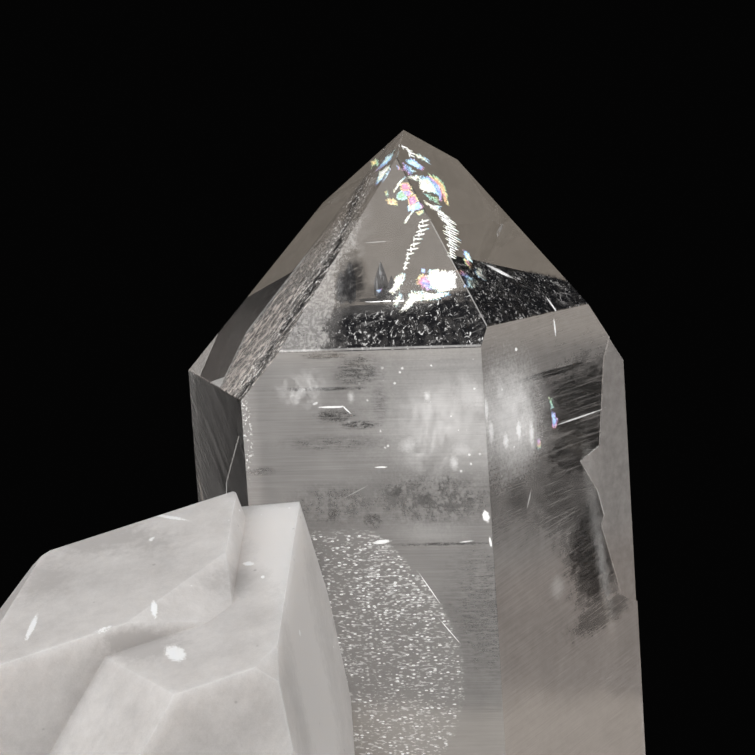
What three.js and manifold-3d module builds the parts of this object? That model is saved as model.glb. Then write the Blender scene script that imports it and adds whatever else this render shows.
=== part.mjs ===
// A quartz cluster: one clear crystal, a milky one that leans across it, and the small points that healed its
// broken foot. Millimetres, +Z up. It stands on z = 0, and its front looks along -Y.
import * as THREE from "three";
import { ConvexGeometry } from "three/addons/geometries/ConvexGeometry.js";
import { mergeVertices } from "three/addons/utils/BufferGeometryUtils.js";
import Module from "manifold-3d";

const wasm = await Module();
wasm.setup();

// The six sides of a quartz crystal stand at these turns about its axis, in degrees: 0 is its front, 60 the next
// side to the right. Over each side, and under it, is a sloping face of the tip that looks up, or down, this far.
const turns = [0, 60, 120, 180, 240, 300];
const tipRise = 38.2;

// A crystal is given by the place of its upper tip, by the distance of its sides from the axis through that tip,
// and by how far its sloping faces pass outside the tip: 0 for those that meet in it. Its length is from the upper
// tip to the lower, healed one, whose sloping faces have their own distances.
const clearPose = { lean: -3.7, back: 0, turn: -13.3 };
const clearTip = [16.9, 15, 115];
const clearCrystal = {
  sides: [17.9, 20.2, 28.7, 26.5, 36.9, 27.4],
  reaches: [3.2, 0, 3.5, 0, 6.2, 0],
  rises: [26.9, tipRise, 34.9, tipRise, 39.5, tipRise],
  length: 138,
  lowerReaches: [0, 2, 0, 3, 4, 1],
};

// The milky crystal is two parallel crystals; the second tip and its faces are measured from the first tip.
const milkyPose = { lean: 30.7, back: -15.7, turn: 67.5 };
const milkyTip = [clearTip[0] - 14.3, clearTip[1] - 20.3, clearTip[2] - 49.1];
const milkyCrystal = {
  sides: [24, 23, 29, 17, 25, 34.5],
  reaches: [0, 6.5, 0, 3, 0, 12.3],
  length: 90,
  lowerReaches: [0, 3, 0, 2, 0, 4],
};
const milkyTwinOffset = [-2.7, 8.1, -3.3];
const milkyTwin = {
  sides: [16, 9, 22, 16.6, 29.5, 23.1],
  reaches: [9, 0, 4, 0, 0, 12],
  length: 82,
  lowerReaches: [0, 0, 3, 0, 5, 0],
};
// Two narrow faces that bevel the twin's left shoulder: turn, rise and distance from the twin's tip.
const shoulderBevels = [[192, 22, 8.3], [207, 8, 15.3]];
// Two faces by which the twin steps down to the first crystal, a steep one on the right and a gentle one below.
const stepBevels = [[346, 48.4, 0.4], [272.7, tipRise, 4.5]];

// Growth layers on the clear crystal's sides: the turn of the side, the layer's outline as distances across it and
// up from the level of the tip, and its thickness, which is negative where the side is sunk.
const growthLayers = [
  {
    turn: 60,
    thickness: -0.45,
    outline: [
      [17, -34], [15.8, -41.3], [15, -46.2], [10.6, -47.7], [14, -52.5], [15.2, -56.4], [14.5, -57.7],
      [16.3, -63.1], [18.1, -68.6], [20.3, -69.9], [24, -71], [24, -30], [19, -30],
    ],
  },
  {
    turn: 180,
    thickness: 0.6,
    outline: [[-8, -50], [6, -45.5], [14, -53], [19, -71], [13, -91], [-2, -97], [-11, -80]],
  },
  {
    turn: 240,
    thickness: 0.45,
    outline: [[-9, -57], [3, -51], [7.5, -66], [6, -88], [-5, -93], [-10, -75]],
  },
  {
    turn: 120,
    thickness: 0.5,
    outline: [[0, -60], [9, -53], [14, -62], [15, -81], [8, -90], [1, -84]],
  },
];

// Small points that healed the foot, in rings round a crystal's sides: how many, the turn of the first, how high
// their tips stand over the low edge of the side, how wide they are from axis to side, and the share of that width
// that is sunk in the side. None grows where the low edge stands higher than the overhang over the rest plane.
const healedRings = [
  { on: "clear", count: 13, from: 8, heights: [5, 15], widths: [2.8, 6.4], sunk: 0.5, overhang: 40 },
  { on: "clear", count: 12, from: 31, heights: [3, 9], widths: [2.2, 4], sunk: 0.3, overhang: 40 },
  { on: "milky", count: 16, from: 70, heights: [3, 13], widths: [2.6, 5.6], sunk: 0.5, overhang: 9 },
];

// Short crystals that stand in the gaps at the foot: where the tip is from the clear crystal's tip, how it leans,
// its width from axis to side, and its length.
const footCrystals = [
  { tip: [-34, 5, -88], pose: { lean: -24, back: -12, turn: 20 }, width: 9, length: 52 },
  { tip: [-4, -27, -92], pose: { lean: 12, back: 24, turn: 41 }, width: 7, length: 40 },
  { tip: [-17, -20, -96], pose: { lean: -6, back: 15, turn: 8 }, width: 5.5, length: 36 },
  { tip: [29, 27, -93], pose: { lean: 22, back: -21, turn: 13 }, width: 6.5, length: 44 },
  { tip: [6, 36, -93], pose: { lean: 4, back: -24, turn: 35 }, width: 5.5, length: 38 },
];

const radians = THREE.MathUtils.degToRad;

// The direction that a face looks in, in the crystal's own frame, whose z is the crystal's axis.
function faceNormal(turn, rise) {
  const t = radians(turn);
  const r = radians(rise);
  return new THREE.Vector3(Math.sin(t) * Math.cos(r), -Math.cos(t) * Math.cos(r), Math.sin(r));
}

// One face as a plane: the crystal lies where the normal times the point is at most the reach.
function face(turn, rise, reach) {
  return { normal: faceNormal(turn, rise), reach };
}

// The corners of the solid behind all the faces: each is where three planes meet and no other face cuts it off.
function cornersOf(faces) {
  const corners = [];
  for (let i = 0; i < faces.length; i++) {
    for (let j = i + 1; j < faces.length; j++) {
      for (let k = j + 1; k < faces.length; k++) {
        const three = [faces[i], faces[j], faces[k]];
        const planes = new THREE.Matrix3().set(...three.flatMap((f) => f.normal.toArray()));
        if (Math.abs(planes.determinant()) < 1e-6) continue;
        const corner = new THREE.Vector3(...three.map((f) => f.reach)).applyMatrix3(planes.invert());
        const cutOff = faces.some((f) => f.normal.dot(corner) > f.reach + 1e-6);
        const known = corners.some((c) => c.distanceTo(corner) < 1e-4);
        if (!cutOff && !known) corners.push(corner);
      }
    }
  }
  return corners;
}

// A three.js geometry as a solid that can be joined and cut.
function solidOf(geometry) {
  const bare = geometry.clone();
  bare.deleteAttribute("normal");
  bare.deleteAttribute("uv");
  const merged = mergeVertices(bare, 1e-4);
  const vertProperties = new Float32Array(merged.attributes.position.array);
  const triVerts = new Uint32Array(merged.index.array);
  return new wasm.Manifold(new wasm.Mesh({ numProp: 3, vertProperties, triVerts }));
}

// A crystal's place: turned about its own axis, tilted back, leaned to the right, and moved to its tip.
function placing(pose, tip) {
  const turned = new THREE.Euler(radians(pose.back), radians(pose.lean), radians(pose.turn), "YXZ");
  return new THREE.Matrix4().makeRotationFromEuler(turned).setPosition(...tip);
}

// All faces of one crystal that is pointed at both ends.
function crystalFaces({ sides, reaches, rises, length, lowerReaches }) {
  const lowerEnd = length * Math.sin(radians(tipRise));
  return turns.flatMap((turn, i) => [
    face(turn, 0, sides[i]),
    face(turn, rises ? rises[i] : tipRise, reaches[i]),
    face(turn, -tipRise, lowerEnd + lowerReaches[i]),
  ]);
}

function crystalSolid(crystal, matrix, extraFaces = []) {
  const faces = [...crystalFaces(crystal), ...extraFaces];
  return solidOf(new ConvexGeometry(cornersOf(faces)).applyMatrix4(matrix));
}

// The angle between two turns.
function turnGap(a, b) {
  return Math.abs(((a - b + 540) % 360) - 180);
}

// How far a crystal's sides are from its axis in one direction.
function outlineAt(sides, direction) {
  const distances = turns.map((turn, i) => {
    const facing = Math.cos(radians(direction - turn));
    return facing > 0.05 ? sides[i] / facing : Infinity;
  });
  return Math.min(...distances);
}

// A repeatable number from 0 to 1 for each count, unlike those of its neighbours.
const goldenPart = 0.618034;
function spread(count, seed) {
  return (count * goldenPart + seed * 0.347) % 1;
}

// How low a crystal's side reaches in one direction: to its healed lower end, or to the rest plane above that.
function lowEdge(host, place, direction, away) {
  const gaps = turns.map((turn) => turnGap(turn, direction));
  const nearest = gaps.indexOf(Math.min(...gaps));
  const rise = radians(tipRise);
  const healed = (away * Math.cos(rise) - host.lowerReaches[nearest]) / Math.sin(rise) - host.length;
  const edge = faceNormal(direction, 0).multiplyScalar(away).applyMatrix4(place);
  const axis = new THREE.Vector3(0, 0, 1).transformDirection(place);
  return Math.max(healed, -edge.z / axis.z);
}

// How high over the rest plane a crystal's low edge is in one direction.
function overhang(host, place, direction) {
  const away = outlineAt(host.sides, direction);
  const edge = faceNormal(direction, 0).multiplyScalar(away).setZ(lowEdge(host, place, direction, away));
  return edge.applyMatrix4(place).z;
}

// A small crystal whose sides are not quite alike, with three large and three small faces at each tip.
function smallCrystal(width, length, n) {
  const sides = turns.map((_, i) => width * THREE.MathUtils.lerp(0.82, 1.18, spread(n + i, 2)));
  const reaches = turns.map((_, i) => (i % 2 === n % 2 ? 0 : width * 0.35 * spread(n + i, 3)));
  return { sides, reaches, length, lowerReaches: reaches };
}

// One small point against a crystal's side, parallel to it, its tip some height over the low edge there.
function healedPoint(host, place, ring, direction, n) {
  const width = THREE.MathUtils.lerp(...ring.widths, spread(n, 6));
  const height = THREE.MathUtils.lerp(...ring.heights, spread(n, 5));
  const away = outlineAt(host.sides, direction) - width * ring.sunk;
  const tip = faceNormal(direction, 0).multiplyScalar(away);
  tip.setZ(lowEdge(host, place, direction, away) + height);
  const length = height + width * THREE.MathUtils.lerp(1.2, 2.8, spread(n, 4));
  const moved = new THREE.Matrix4().makeTranslation(...tip);
  return crystalSolid(smallCrystal(width, length, n), place.clone().multiply(moved));
}

// A growth layer as a plate: one that stands up from the side starts inside the crystal, and one that is sunk is
// cut out from its own floor to outside the side.
function layerSolid({ turn, outline, thickness }, host, place) {
  const buried = 1;
  const shape = new THREE.Shape(outline.map(([across, up]) => new THREE.Vector2(across, up)));
  const depth = buried + Math.abs(thickness);
  const plate = new THREE.ExtrudeGeometry(shape, { depth, bevelEnabled: false });
  const outward = faceNormal(turn, 0);
  const up = new THREE.Vector3(0, 0, 1);
  const across = new THREE.Vector3().crossVectors(up, outward);
  const start = host.sides[turns.indexOf(turn)] + Math.min(thickness, 0) - (thickness > 0 ? buried : 0);
  const onSide = new THREE.Matrix4().makeBasis(across, up, outward);
  onSide.setPosition(outward.multiplyScalar(start));
  return solidOf(plate.applyMatrix4(onSide).applyMatrix4(place));
}

const clearPlace = placing(clearPose, clearTip);
const milkyPlace = placing(milkyPose, milkyTip);
const twinPlace = milkyPlace.clone().multiply(new THREE.Matrix4().makeTranslation(...milkyTwinOffset));

// The clear crystal and its growth layers.
let cluster = crystalSolid(clearCrystal, clearPlace);
for (const layer of growthLayers) {
  const plate = layerSolid(layer, clearCrystal, clearPlace);
  cluster = layer.thickness > 0 ? cluster.add(plate) : cluster.subtract(plate);
}

// The milky crystal and its twin.
cluster = cluster.add(crystalSolid(milkyCrystal, milkyPlace));
const bevels = [...shoulderBevels, ...stepBevels].map(([turn, rise, reach]) => face(turn, rise, reach));
cluster = cluster.add(crystalSolid(milkyTwin, twinPlace, bevels));

// The small points and the short crystals at the foot.
for (const ring of healedRings) {
  const host = ring.on === "clear" ? clearCrystal : milkyCrystal;
  const place = ring.on === "clear" ? clearPlace : milkyPlace;
  for (let n = 0; n < ring.count; n++) {
    const direction = ring.from + (360 / ring.count) * (n + 0.5 * spread(n, 1));
    if (overhang(host, place, direction) > ring.overhang) continue;
    cluster = cluster.add(healedPoint(host, place, ring, direction, n));
  }
}
footCrystals.forEach(({ tip, pose, width, length }, n) => {
  const at = tip.map((distance, i) => distance + clearTip[i]);
  cluster = cluster.add(crystalSolid(smallCrystal(width, length, n), placing(pose, at)));
});

// All of it rests on the flat that is cut across the foot.
const room = 400;
const below = new THREE.BoxGeometry(room, room, room).translate(0, 0, -room / 2);
cluster = cluster.subtract(solidOf(below));

function geometryOf(solid) {
  const mesh = solid.getMesh();
  const geometry = new THREE.BufferGeometry();
  geometry.setAttribute("position", new THREE.BufferAttribute(new Float32Array(mesh.vertProperties), 3));
  geometry.setIndex(new THREE.BufferAttribute(new Uint32Array(mesh.triVerts), 1));
  geometry.computeVertexNormals();
  return geometry;
}

const quartz = new THREE.MeshStandardMaterial({ color: 0xd9dadb, roughness: 0.08, metalness: 0 });
const group = new THREE.Group();
const quartzCluster = new THREE.Mesh(geometryOf(cluster), quartz);
quartzCluster.name = "quartz_cluster";
group.add(quartzCluster);

export default group;
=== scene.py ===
import itertools
from types import SimpleNamespace

import bmesh
import bpy
import numpy as np
from mathutils import Matrix, Vector


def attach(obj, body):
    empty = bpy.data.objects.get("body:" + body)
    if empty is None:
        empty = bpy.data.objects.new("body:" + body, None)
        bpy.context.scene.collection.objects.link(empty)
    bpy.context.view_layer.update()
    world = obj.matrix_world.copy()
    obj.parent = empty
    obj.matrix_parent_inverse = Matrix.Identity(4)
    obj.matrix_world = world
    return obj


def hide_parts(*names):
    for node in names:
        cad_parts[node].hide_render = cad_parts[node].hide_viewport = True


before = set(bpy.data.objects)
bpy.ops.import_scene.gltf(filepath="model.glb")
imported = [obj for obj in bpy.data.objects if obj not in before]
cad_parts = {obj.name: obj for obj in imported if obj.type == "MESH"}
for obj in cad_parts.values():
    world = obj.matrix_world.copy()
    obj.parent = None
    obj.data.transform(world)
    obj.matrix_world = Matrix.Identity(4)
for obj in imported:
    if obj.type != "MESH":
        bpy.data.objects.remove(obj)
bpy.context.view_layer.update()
cadNode = "quartz_cluster"

# Lengths are in millimetres, and a mesh is scaled to metres when it is made. A crystal's own frame has its
# origin at the tip, z up its axis, and its front side facing -y before it is turned and leaned into place.
millimetre = 0.001

print("camera and light")

view = {
    "place": (13.25, -426.9, 150.55),
    "tilt": 80.9,  # degrees up from straight down
    "lens": 150.0,
    "sensor": 36.0,
    "nearest": 10,
}

lamps = [
    # name, direction from the cluster, distance, width and height of the panel, brightness
    ("leftPanel", (-0.80, -0.42, 0.42), 720, (420, 420), 5.0),
    ("rightPanel", (0.78, -0.55, 0.30), 760, (260, 420), 6.0),
    ("topPanel", (-0.10, -0.15, 1.0), 700, (420, 420), 4.0),
    ("frontPanel", (-0.10, -0.95, 0.42), 900, (500, 300), 2.5),
]

stage = {
    "lampsAim": (0, 0, 60),
    "floorMiddle": (0, -150),
    "floorRadius": 245,
    "floorPoints": 96,
    "floorColour": (0.74, 0.73, 0.71, 1),
    "worldColour": (0.0013, 0.0013, 0.0013, 1),
}

# light has to pass many faces and flakes of the clear crystal
bounces = {
    "max_bounces": 9,
    "transmission_bounces": 9,
    "glossy_bounces": 5,
    "transparent_max_bounces": 18,
}


def addCamera():
    camera = bpy.data.objects.new("camera", bpy.data.cameras.new("camera"))
    bpy.context.scene.collection.objects.link(camera)
    camera.location = Vector(view["place"]) * millimetre
    camera.rotation_euler = (np.radians(view["tilt"]), 0, 0)
    camera.data.lens = view["lens"]
    camera.data.sensor_width = view["sensor"]
    camera.data.clip_start = view["nearest"] * millimetre
    bpy.context.scene.camera = camera


def addLamp(name, direction, distance, size, brightness):
    # a panel that looks at the cluster; its power is brightness x area x pi
    lamp = bpy.data.objects.new(name, bpy.data.lights.new(name, "AREA"))
    bpy.context.scene.collection.objects.link(lamp)
    lamp.data.shape = "RECTANGLE"
    lamp.data.size, lamp.data.size_y = (side * millimetre for side in size)
    lamp.data.energy = brightness * lamp.data.size * lamp.data.size_y * np.pi
    toLamp = Vector(direction).normalized()
    lamp.location = (Vector(stage["lampsAim"]) + toLamp * distance) * millimetre
    lamp.rotation_euler = toLamp.to_track_quat("Z", "Y").to_euler()


addCamera()
for lamp in lamps:
    addLamp(*lamp)

scene = bpy.context.scene
scene.view_settings.view_transform = "Standard"
scene.view_settings.look = "None"
for limit, count in bounces.items():
    setattr(scene.cycles, limit, count)
world = bpy.data.worlds.new("dark")
world.use_nodes = True
world.node_tree.nodes["Background"].inputs["Color"].default_value = stage["worldColour"]
scene.world = world


class Wire:
    # one output socket of a material, so that shader maths reads as an expression
    def __init__(self, sheet, socket):
        self.sheet, self.socket = sheet, socket

    def maths(self, operation, *others, clamped=False):
        return self.sheet.node("Math", {"operation": operation, "use_clamp": clamped}, [self, *others])

    def __add__(self, other):
        return self.maths("ADD", other)

    def __sub__(self, other):
        return self.maths("SUBTRACT", other)

    def __rsub__(self, other):
        return self.sheet.node("Math", {"operation": "SUBTRACT"}, [other, self])

    def __mul__(self, other):
        return self.maths("MULTIPLY", other)

    def __truediv__(self, other):
        return self.maths("DIVIDE", other)

    def __pow__(self, power):
        return self.maths("POWER", power)

    __radd__ = __add__
    __rmul__ = __mul__

    def timesPlus(self, factor, more):
        return self.maths("MULTIPLY_ADD", factor, more)

    def most(self, other):
        return self.maths("MAXIMUM", other)

    def size(self):
        return self.maths("ABSOLUTE")

    def clamped(self):
        return self.maths("ADD", 0.0, clamped=True)

    def step(self, low, high, to=(0.0, 1.0)):
        # rises smoothly between two values of the input
        return self.sheet.node("MapRange", {"interpolation_type": "SMOOTHSTEP"}, {
            "Value": self, "From Min": low, "From Max": high, "To Min": to[0], "To Max": to[1]})

    def band(self, low, high, soft):
        # 1 between two values, falling to 0 outside them
        return self.step(low - soft, low + soft) * (1 - self.step(high - soft, high + soft))

    def besides(self, output):
        # another output of the same node
        return Wire(self.sheet, self.socket.node.outputs[output])


def strongest(masks):
    # the largest of several masks at each point
    best = masks[0]
    for mask in masks[1:]:
        best = best.most(mask)
    return best


class Sheet:
    # the node tree of one material
    def __init__(self, name):
        self.material = bpy.data.materials.new(name)
        self.material.use_nodes = True
        self.tree = self.material.node_tree
        self.tree.nodes.clear()

    def node(self, kind, settings=None, values=None, output=0):
        # any node: its type, its settings, then the values or links of its sockets
        made = self.tree.nodes.new("ShaderNode" + kind)
        for key, value in (settings or {}).items():
            if key == "stops":
                while len(made.color_ramp.elements) < len(value):
                    made.color_ramp.elements.new(0.5)
                for element, (place, colour) in zip(made.color_ramp.elements, value):
                    element.position, element.color = place, colour
            else:
                setattr(made, key, value)
        pairs = values.items() if isinstance(values, dict) else enumerate(values or [])
        for key, value in pairs:
            if isinstance(value, Wire):
                self.tree.links.new(value.socket, made.inputs[key])
            else:
                made.inputs[key].default_value = value
        return Wire(self, made.outputs[output])

    def place(self, tip, turned):
        # Object coordinates as millimetres in a crystal's own frame
        here = self.node("TexCoord", output="Object")
        return self.node("Mapping", {"vector_type": "TEXTURE"}, {
            "Vector": here, "Location": Vector(tip) * millimetre, "Rotation": turned,
            "Scale": (millimetre,) * 3})

    def parts(self, vector):
        split = self.node("SeparateXYZ", None, [vector])
        return [split.besides(i) for i in range(3)]

    def point(self, x, z):
        return self.node("CombineXYZ", None, [x, 0.0, z])

    def scaled(self, vector, scale):
        # three scales stretch the space first
        if isinstance(scale, tuple):
            return self.node("VectorMath", {"operation": "MULTIPLY"}, [vector, scale]), 1.0
        return vector, scale

    def cells(self, vector, scale):
        # the distance to the nearest of the points strewn over space
        vector, scale = self.scaled(vector, scale)
        return self.node("TexVoronoi", None, {"Vector": vector, "Scale": scale})

    def noise(self, vector, scale, detail=3.0, roughness=0.55, distortion=0.0):
        vector, scale = self.scaled(vector, scale)
        return self.node("TexNoise", None, {
            "Vector": vector, "Scale": scale, "Detail": detail, "Roughness": roughness,
            "Distortion": distortion})

    def spot(self, place, middle, turned, halves, soft, torn):
        # 1 inside an ellipsoid turned about z and 0 outside it, with a soft edge that a noise tears
        inside = self.node("Mapping", {"vector_type": "TEXTURE"}, {
            "Vector": place, "Location": middle, "Rotation": (0, 0, np.radians(turned)), "Scale": halves})
        reach = self.node("VectorMath", {"operation": "LENGTH"}, [inside], output="Value")
        return (reach + (torn - 0.5) * 1.2).step(1 + soft, 1 - soft)

    def blend(self, factor, first, second):
        # a colour mix: sockets 0, 6 and 7 are its factor and colours, and its third output is the colour
        return self.node("Mix", {"data_type": "RGBA"}, {0: factor, 6: first, 7: second}, output=2)

    def bump(self, settings, height):
        # the normal of a relief, with its strength and its height in millimetres from a finish's settings
        return self.node("Bump", None, {
            "Strength": settings["bump"], "Distance": settings["bumpHeight"] * millimetre, "Height": height})

    def mixed(self, factor, first, second):
        return self.node("MixShader", None, [factor, first, second])

    def finish(self, surface, volume=None):
        end = self.tree.nodes.new("ShaderNodeOutputMaterial")
        self.tree.links.new(surface.socket, end.inputs["Surface"])
        if volume:
            self.tree.links.new(volume.socket, end.inputs["Volume"])
        return self.material


print("stage")


def addFloor():
    # a flat disc: x and y go round its rim at one radius
    turns = np.linspace(0, 2 * np.pi, stage["floorPoints"], endpoint=False)
    rim = np.stack([np.cos(turns), np.sin(turns), 0 * turns], 1) * stage["floorRadius"]
    rim[:, :2] += stage["floorMiddle"]
    mesh = bpy.data.meshes.new("floor")
    mesh.from_pydata((rim * millimetre).tolist(), [], [list(range(len(rim)))])
    floor = bpy.data.objects.new("floor", mesh)
    bpy.context.scene.collection.objects.link(floor)
    sheet = Sheet("paleFloor")
    mesh.materials.append(sheet.finish(sheet.node("BsdfPrincipled", None, {
        "Base Color": stage["floorColour"], "Roughness": 0.7})))


addFloor()

print("crystal forms")

turns = np.arange(0, 360, 60)  # of a crystal's sides, from the front one
tipRise = 38.2  # of the faces that aren't given their own

clearCrystal = {
    "pose": (-3.7, 0, -13.3),  # leaned right, tilted back, turned
    "tip": (16.9, 15, 115),
    "sides": (17.9, 20.2, 28.7, 26.5, 36.9, 27.4),
    "reaches": (3.2, 0, 3.5, 0, 6.2, 0),
    "rises": (26.9, tipRise, 34.9, tipRise, 39.5, tipRise),
    "length": 138,
    "lowerReaches": (0, 2, 0, 3, 4, 1),
    "edge": 0.10,  # width of the worn edges
}

milkyCrystal = {
    "pose": (30.7, -15.7, 67.5),
    "tip": (2.6, -5.3, 65.9),
    "sides": (24, 23, 29, 17, 25, 34.5),
    "reaches": (0, 6.5, 0, 3, 0, 12.3),
    "length": 90,
    "lowerReaches": (0, 3, 0, 2, 0, 4),
    "edge": 0.22,
}

milkyTwin = {
    "offset": (-2.7, 8.1, -3.3),
    "sides": (16, 9, 22, 16.6, 29.5, 23.1),
    "reaches": (9, 0, 4, 0, 0, 12),
    "length": 82,
    "lowerReaches": (0, 0, 3, 0, 5, 0),
    # two narrow faces on its left shoulder, then the two of its step: turn, rise and reach
    "bevels": ((192, 22, 8.3), (207, 8, 15.3), (346, 48.4, 0.4), (272.7, tipRise, 4.5)),
}


def faceNormal(turn, rise):
    # (sin turn cos rise, -cos turn cos rise, sin rise)
    turn, rise = np.radians(turn), np.radians(rise)
    return np.stack([np.sin(turn) * np.cos(rise), -np.cos(turn) * np.cos(rise), np.sin(rise) + 0 * turn], -1)


def placing(pose, tip):
    lean, back, turn = (np.radians(angle) for angle in pose)
    turned = Matrix.Rotation(lean, 4, "Y") @ Matrix.Rotation(back, 4, "X") @ Matrix.Rotation(turn, 4, "Z")
    return Matrix.Translation(tip) @ turned


def crystalPlanes(crystal, place, more=()):
    # the crystal's faces as planes in the row frame: normal . point = reach
    lower = crystal["length"] * np.sin(np.radians(tipRise)) + np.array(crystal["lowerReaches"])
    rises = np.array(crystal.get("rises", [tipRise] * 6))
    normals = [faceNormal(turns, rise) for rise in (0 * turns, rises, -tipRise + 0 * turns)]
    reaches = [np.array(crystal["sides"]), np.array(crystal["reaches"]), lower]
    for turn, rise, reach in more:
        normals.append(faceNormal(np.array([turn]), np.array([rise])))
        reaches.append(np.array([reach]))
    normals, reaches = np.concatenate(normals), np.concatenate(reaches)
    normals = normals @ np.array(place.to_3x3()).T
    return normals, reaches + normals @ np.array(place.translation)


near = {
    "parallel": 1e-6,  # least determinant of three planes that meet
    "outside": 1e-5,  # how far past a plane a corner may stand
    "onPlane": 4e-3,  # how near a rounded corner is to its planes
}


def solidFromPlanes(normals, reaches):
    # a corner is where three planes meet and no plane cuts it off; a face is one plane's corners in order
    triples = np.array(list(itertools.combinations(range(len(normals)), 3)))
    systems = normals[triples]
    meets = np.abs(np.linalg.det(systems)) > near["parallel"]
    points = np.linalg.solve(systems[meets], reaches[triples[meets]][..., None])[..., 0]
    kept = (points @ normals.T <= reaches + near["outside"]).all(1)
    corners = np.unique(np.round(points[kept], 3), axis=0)
    faces = []
    for normal, reach in zip(normals, reaches):
        on = np.flatnonzero(np.abs(corners @ normal - reach) < near["onPlane"])
        if len(on) > 2:
            spokes = corners[on] - corners[on].mean(0)
            sideways = spokes[0] / np.linalg.norm(spokes[0])
            upwards = np.cross(normal, sideways)
            faces.append(on[np.argsort(np.arctan2(spokes @ upwards, spokes @ sideways))].tolist())
    return corners, faces


def pieceFrom(name, corners, faces):
    mesh = bpy.data.meshes.new(name)
    mesh.from_pydata((np.asarray(corners) * millimetre).tolist(), [], faces)
    piece = bpy.data.objects.new(name, mesh)
    bpy.context.scene.collection.objects.link(piece)
    return piece


def settled(piece):
    # makes a piece's modifiers part of its mesh
    bpy.context.view_layer.update()
    graph = bpy.context.evaluated_depsgraph_get()
    mesh = bpy.data.meshes.new_from_object(piece.evaluated_get(graph))
    piece.modifiers.clear()
    piece.data = mesh
    return piece


def joined(piece, other, operation):
    # adds another closed piece to this one, or cuts it away
    modifier = piece.modifiers.new("joined", "BOOLEAN")
    modifier.operation, modifier.solver, modifier.object = operation, "EXACT", other
    settled(piece)
    bpy.data.objects.remove(other)


bevelledFrom = 12  # degrees between two faces


def wornEdges(piece, width):
    modifier = piece.modifiers.new("wornEdges", "BEVEL")
    modifier.width, modifier.segments, modifier.limit_method = width * millimetre, 1, "ANGLE"
    modifier.angle_limit = np.radians(bevelledFrom)
    settled(piece)


def closedAtRest(normals, reaches):
    # adds the plane that the cluster rests on
    return np.concatenate([normals, [[0.0, 0.0, -1.0]]]), np.concatenate([reaches, [0.0]])


clearPlace = placing(clearCrystal["pose"], clearCrystal["tip"])
milkyPlace = placing(milkyCrystal["pose"], milkyCrystal["tip"])
twinPlace = milkyPlace @ Matrix.Translation(milkyTwin["offset"])

growthLayers = [
    # the side's turn, how thick, or below 0 how sunk, and the outline as distances across it and up the axis
    (60, -0.45, [(17, -34), (15.8, -41.3), (15, -46.2), (10.6, -47.7), (14, -52.5), (15.2, -56.4),
                 (14.5, -57.7), (16.3, -63.1), (18.1, -68.6), (20.3, -69.9), (24, -71), (24, -30),
                 (19, -30)]),
    (180, 0.6, [(-8, -50), (6, -45.5), (14, -53), (19, -71), (13, -91), (-2, -97), (-11, -80)]),
    (240, 0.45, [(-9, -57), (3, -51), (7.5, -66), (6, -88), (-5, -93), (-10, -75)]),
    (120, 0.5, [(0, -60), (9, -53), (14, -62), (15, -81), (8, -90), (1, -84)]),
]


plateOverlap = 1  # how far a plate reaches on, past the side's plane


def layerPlate(turn, thickness, outline):
    # a prism on the outline, standing on one side of the crystal: its rim at two distances from the axis
    outward = faceNormal(turn, 0)
    across = np.array([np.cos(np.radians(turn)), np.sin(np.radians(turn)), 0])
    rim = np.array(outline, float)
    side = clearCrystal["sides"][int(turn / 60)]
    start = side - (plateOverlap if thickness > 0 else -thickness)
    flat = rim[:, :1] * across + rim[:, 1:] * np.array([0, 0, 1])
    end = start + plateOverlap + abs(thickness)
    corners = np.concatenate([flat + outward * start, flat + outward * end])
    turned = np.array(clearPlace.to_3x3())
    corners = corners @ turned.T + np.array(clearPlace.translation)
    n = len(rim)
    walls = [[i, (i + 1) % n, n + (i + 1) % n, n + i] for i in range(n)]
    piece = pieceFrom("layer", corners, [list(range(n))[::-1], list(range(n, 2 * n)), *walls])
    recalculated(piece)
    return piece


def recalculated(piece):
    work = bmesh.new()
    work.from_mesh(piece.data)
    bmesh.ops.remove_doubles(work, verts=work.verts, dist=1e-6)
    bmesh.ops.recalc_face_normals(work, faces=work.faces)
    work.to_mesh(piece.data)
    work.free()


def grown(crystal, place, more=()):
    return solidFromPlanes(*closedAtRest(*crystalPlanes(crystal, place, more)))


def crystalPiece(name, crystal, place, more=()):
    piece = pieceFrom(name, *grown(crystal, place, more))
    recalculated(piece)
    return piece


clearPiece = crystalPiece("clear_crystal", clearCrystal, clearPlace)
for turn, thickness, outline in growthLayers:
    joined(clearPiece, layerPlate(turn, thickness, outline), "UNION" if thickness > 0 else "DIFFERENCE")
wornEdges(clearPiece, clearCrystal["edge"])

milkyPiece = crystalPiece("milky_crystal", milkyCrystal, milkyPlace)
joined(milkyPiece, crystalPiece("milky_twin", milkyTwin, twinPlace, milkyTwin["bevels"]), "UNION")
wornEdges(milkyPiece, milkyCrystal["edge"])

print("clear crystal", len(clearPiece.data.polygons), "milky crystal", len(milkyPiece.data.polygons))

print("healed foot")

healedRings = [
    # rings of small points: the host, how many, the direction of the first, least and most height and width,
    # how deep they sit in the host as a share of the width, and how high the host's lower edge may be there
    {"on": "clear", "count": 13, "from": 8, "heights": (5, 15), "widths": (2.8, 6.4), "sunk": 0.5,
     "overhang": 40},
    {"on": "clear", "count": 12, "from": 31, "heights": (3, 9), "widths": (2.2, 4), "sunk": 0.3,
     "overhang": 40},
    {"on": "milky", "count": 16, "from": 70, "heights": (3, 13), "widths": (2.6, 5.6), "sunk": 0.5,
     "overhang": 9},
]

footCrystals = [
    # place from the clear crystal's tip, pose, width from axis to side, length
    ((-34, 5, -88), (-24, -12, 20), 9, 52),
    ((-4, -27, -92), (12, 24, 41), 7, 40),
    ((-17, -20, -96), (-6, 15, 8), 5.5, 36),
    ((29, 27, -93), (22, -21, 13), 6.5, 44),
    ((6, 36, -93), (4, -24, 35), 5.5, 38),
]

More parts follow.
